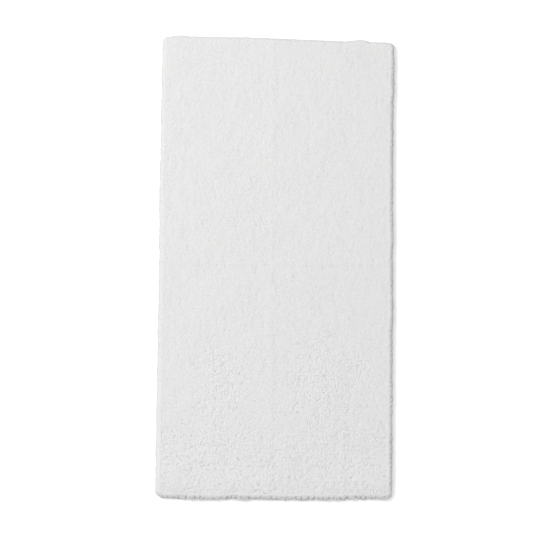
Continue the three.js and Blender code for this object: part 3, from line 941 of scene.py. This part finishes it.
def tape(name, sign, axis):
    """A strip of tape with rolled edges, pulled in a little along its seam. It runs between two mitres."""
    s_line = SEAM_INSET
    across = np.array([IN0, IN0 + 0.5, IN0 + 1.6, IN0 + 5, s_line - 3, s_line - 1.4, s_line, s_line + 1.4, s_line + 2.6, IN1 - 1.2, IN1 - 0.4, IN1])
    lift = np.array([0.65, 0.25, 0.04, 0.0, 0.02, 0.22, 0.62, 0.22, 0.04, 0.08, 0.3, 0.65])
    half = Y1 if axis == 0 else X1
    run = lines(half - IN0, 6.0, FOLD_LINES if axis == 0 else ())
    verts, nx, ny = [], len(across), len(run)
    for z_top in (False, True):
        for ins, li in zip(across, lift):
            lim = half - ins - 0.25
            along = run / (half - IN0) * lim
            if axis == 0:  # keep the bending rows straight across the tape
                mid = np.abs(run) <= 30
                along = np.where(mid, run, np.sign(run) * (30 + (np.abs(run) - 30) / (half - IN0 - 30) * (lim - 30)))
            other = np.full(ny, sign * ((X1 if axis == 0 else Y1) - ins))
            x, y = rounded(*((other, along) if axis == 0 else (along, other)), IN0)
            z = np.full(ny, TAPE_Z[1] - (0.12 if li > 0.5 and ins != s_line else 0.0)) if z_top else TAPE_Z[0] + li + 0.05 * (1 + vnoise(along, along * 0 + ins, 13, 5, 81))
            px, py = plan(x, y, True)
            verts.append(np.stack([px, py, z], -1))
    verts = np.array(verts).reshape(-1, 3)
    idx = np.arange(nx * ny).reshape(nx, ny)
    a, b, c, d = idx[:-1, :-1], idx[1:, :-1], idx[1:, 1:], idx[:-1, 1:]
    low = np.stack([a, b, c, d], -1).reshape(-1, 4)
    high = np.stack([a, d, c, b], -1).reshape(-1, 4) + nx * ny
    rim = np.concatenate([idx[:, 0], idx[-1, 1:], idx[-2::-1, -1], idx[0, -2:0:-1]])
    nxt = np.roll(rim, -1)
    side = np.stack([rim, rim + nx * ny, nxt + nx * ny, nxt], -1)
    faces = [low, high, side]
    # which way round depends on the side that the tape is on
    v0, v1, v3 = verts[low[0, 0]], verts[low[0, 1]], verts[low[0, 3]]
    if np.cross(v1 - v0, v3 - v0)[2] > 0:
        faces = [f[:, ::-1] for f in faces]
    return wear(from_faces(name, verts, faces), TAPE)


for side, sign in (("left", -1), ("right", 1)):
    t_ob = tape(f"{side}_hem_tape", sign, 0)
    across_fold(t_ob)
    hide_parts(f"{side}_near_hem_tape", f"{side}_far_hem_tape")
for end, sign in (("near", -1), ("far", 1)):
    t_ob = tape(f"{end}_end_tape", sign, 1)
    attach(t_ob, f"{end}_half")
    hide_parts(f"{end}_end_hem_tape")


# ---- seams: separate lockstitches, sunk into the tape -----------------------------------------------
def stitches(name, a, b, seed, pitch=4.2, width=0.45):
    r = np.random.default_rng(seed)
    a, b = np.array(a, float), np.array(b, float)
    n = int(np.linalg.norm(b - a) / pitch)
    d = (b - a) / np.linalg.norm(b - a)
    side = np.array([-d[1], d[0]])
    mid = a + d * ((np.arange(n) + 0.5) / n * np.linalg.norm(b - a))[:, None]
    t = np.linspace(-1, 1, 6)
    p = np.empty((n, 6, 3))
    skew_by = r.normal(0, 0.10, n)
    for i, u in enumerate(t):
        p[:, i, :2] = mid + d * (u * pitch * 0.43) + side * (u * (0.10 + skew_by))[:, None]
        p[:, i, 2] = TAPE_Z[0] + 0.55 + 0.65 * abs(u) ** 3
    p[:, :, 0], p[:, :, 1] = plan(p[:, :, 0], p[:, :, 1], True)
    return wear(thread_mesh(name, p, np.full(n, width) * (1 + r.normal(0, 0.04, n)), sides=7, taper=0.75), THREAD)


sxx, syy = X1 - SEAM_INSET, Y1 - SEAM_INSET
for side, sign in (("left", -1), ("right", 1)):
    s_ob = stitches(f"{side}_hem_seam", (sign * sxx, -syy + 6), (sign * sxx, syy - 6), 300 + sign)
    across_fold(s_ob)
    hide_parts(f"{side}_near_hem_seam", f"{side}_far_hem_seam")
for end, sign in (("near", -1), ("far", 1)):
    s_ob = stitches(f"{end}_end_seam", (-sxx + 6, sign * syy), (sxx - 6, sign * syy), 310 + sign)
    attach(s_ob, f"{end}_half")
    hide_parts(f"{end}_end_hem_seam")

# ---- blank label and its tack ---------------------------------------------------------------------------
lo, hi = label_box
nx, ny = 13, 19
u, v = np.meshgrid(np.linspace(0, 1, nx), np.linspace(0, 1, ny), indexing="ij")
lx = lo.x + (hi.x - lo.x) * u
ly = lo.y + (hi.y - lo.y) * v
ly = ly + (lx - (lo.x + hi.x) / 2) * -0.012
curl = (1 - v) ** 2 * 0.35 * np.sin(u * 5 + 0.6) + 0.10 * np.sin(v * 9 + u * 2)
base_z = lo.z - 0.35  # just under the coat
bot = base_z + 0.12 * curl
bot = np.clip(bot, 0.12, None)
verts = np.concatenate([np.stack([lx, ly, bot + 0.22], -1).reshape(-1, 3), np.stack([lx, ly, bot], -1).reshape(-1, 3)])
idx = np.arange(nx * ny).reshape(nx, ny)
a, b, c, d = idx[:-1, :-1], idx[1:, :-1], idx[1:, 1:], idx[:-1, 1:]
rim = np.concatenate([idx[:, 0], idx[-1, 1:], idx[-2::-1, -1], idx[0, -2:0:-1]])
nxt = np.roll(rim, -1)
label = from_faces("blank_label", verts, [
    np.stack([a, b, c, d], -1).reshape(-1, 4),
    np.stack([a, d, c, b], -1).reshape(-1, 4) + nx * ny,
    np.stack([rim, rim + nx * ny, nxt + nx * ny, nxt], -1),
])
wear(label, LABEL)
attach(label, "far_half")
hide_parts("care_label")
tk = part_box("care_label_tack")
tack_y = (tk[0].y + tk[1].y) / 2 * 1000
tp = []
r = np.random.default_rng(330)
cnt = 13
for i in range(cnt):
    cx = lo.x + 2.2 + (hi.x - lo.x - 4.4) * (i + 0.5) / cnt
    z = np.array([0.55, 0.30, 0.20, 0.20, 0.30, 0.55])
    xx = cx + np.linspace(-0.95, 0.95, 6)
    tp.append(np.stack([xx, tack_y + np.linspace(-0.35, 0.35, 6) * (1 if i % 2 else -1), z + 0.12], -1))
tack = wear(thread_mesh("label_tack", np.array(tp), np.full(cnt, 0.28), sides=6, taper=0.7), THREAD)
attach(tack, "far_half")
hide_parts("care_label_tack")

# ---- floor, light, world --------------------------------------------------------------------------------------
me = bpy.data.meshes.new("floor")
s = 14.0
me.from_pydata([(-s, -s, -0.0002), (s, -s, -0.0002), (s, s, -0.0002), (-s, s, -0.0002)], [], [(0, 1, 2, 3)])
floor = bpy.data.objects.new("floor", me)
bpy.context.scene.collection.objects.link(floor)
fm, fnt, fp = new_material("floor_white", (0.93, 0.93, 0.93), 1.0, spec=0.0)
fp.inputs["Emission Color"].default_value = (1, 1, 1, 1)
# a table top that glows, more further out: painted light which keeps the shadows on it faint, and which meets the white
# backdrop without a line far away
floor_at, floor_far, floor_glow = fnt.nodes.new("ShaderNodeTexCoord"), fnt.nodes.new("ShaderNodeVectorMath"), fnt.nodes.new("ShaderNodeMapRange")
floor_far.operation, floor_glow.interpolation_type = "LENGTH", "SMOOTHSTEP"
for i, v in ((1, 1.2), (2, 4.5), (3, 0.27), (4, 0.50)):
    floor_glow.inputs[i].default_value = v
fnt.links.new(floor_at.outputs["Object"], floor_far.inputs[0])
fnt.links.new(floor_far.outputs["Value"], floor_glow.inputs[0])
fnt.links.new(floor_glow.outputs[0], fp.inputs["Emission Strength"])
dull = fnt.nodes.new("ShaderNodeBsdfDiffuse")  # what the mat gets back from the floor
dull.inputs["Color"].default_value = (0.30, 0.30, 0.30, 1)
seen_floor = fnt.nodes.new("ShaderNodeLightPath")
pick_floor = fnt.nodes.new("ShaderNodeMixShader")
fnt.links.new(seen_floor.outputs["Is Camera Ray"], pick_floor.inputs[0])
fnt.links.new(dull.outputs[0], pick_floor.inputs[1])
fnt.links.new(fp.outputs[0], pick_floor.inputs[2])
fnt.links.new(pick_floor.outputs[0], fnt.nodes["Material Output"].inputs["Surface"])
me.materials.append(fm)

world = bpy.data.worlds.new("studio")
bpy.context.scene.world = world
world.use_nodes = True
wn = world.node_tree
bg = wn.nodes["Background"]
bg.inputs["Color"].default_value = (1, 1, 1, 1)
bg.inputs["Strength"].default_value = 0.665
seen = wn.nodes.new("ShaderNodeBackground")
seen.inputs["Color"].default_value = (1, 1, 1, 1)
seen.inputs["Strength"].default_value = 1.0
path = wn.nodes.new("ShaderNodeLightPath")
blend_bg = wn.nodes.new("ShaderNodeMixShader")
wn.links.new(path.outputs["Is Camera Ray"], blend_bg.inputs[0])
wn.links.new(bg.outputs[0], blend_bg.inputs[1])
wn.links.new(seen.outputs[0], blend_bg.inputs[2])
wn.links.new(blend_bg.outputs[0], wn.nodes["World Output"].inputs["Surface"])

key = bpy.data.lights.new("key", "AREA")
key.shape = "DISK"
KEY_AT = 6.0  # metres from the mat, so that its light falls off a little across it
key.size = 2 * KEY_AT * math.tan(math.radians(14))
key.energy = 1.75 * math.pi * KEY_AT**2
key_ob = bpy.data.objects.new("key", key)
bpy.context.scene.collection.objects.link(key_ob)
toward = Vector((-0.78, 0.36, 1.0)).normalized()
key_ob.location = toward * KEY_AT
key_ob.rotation_euler = toward.to_track_quat("Z", "Y").to_euler()
key_ob.visible_camera = False

scene = bpy.context.scene
scene.view_settings.view_transform = "Standard"
scene.view_settings.look = "None"
scene.view_settings.exposure = 0.0
scene.view_settings.gamma = 1.0
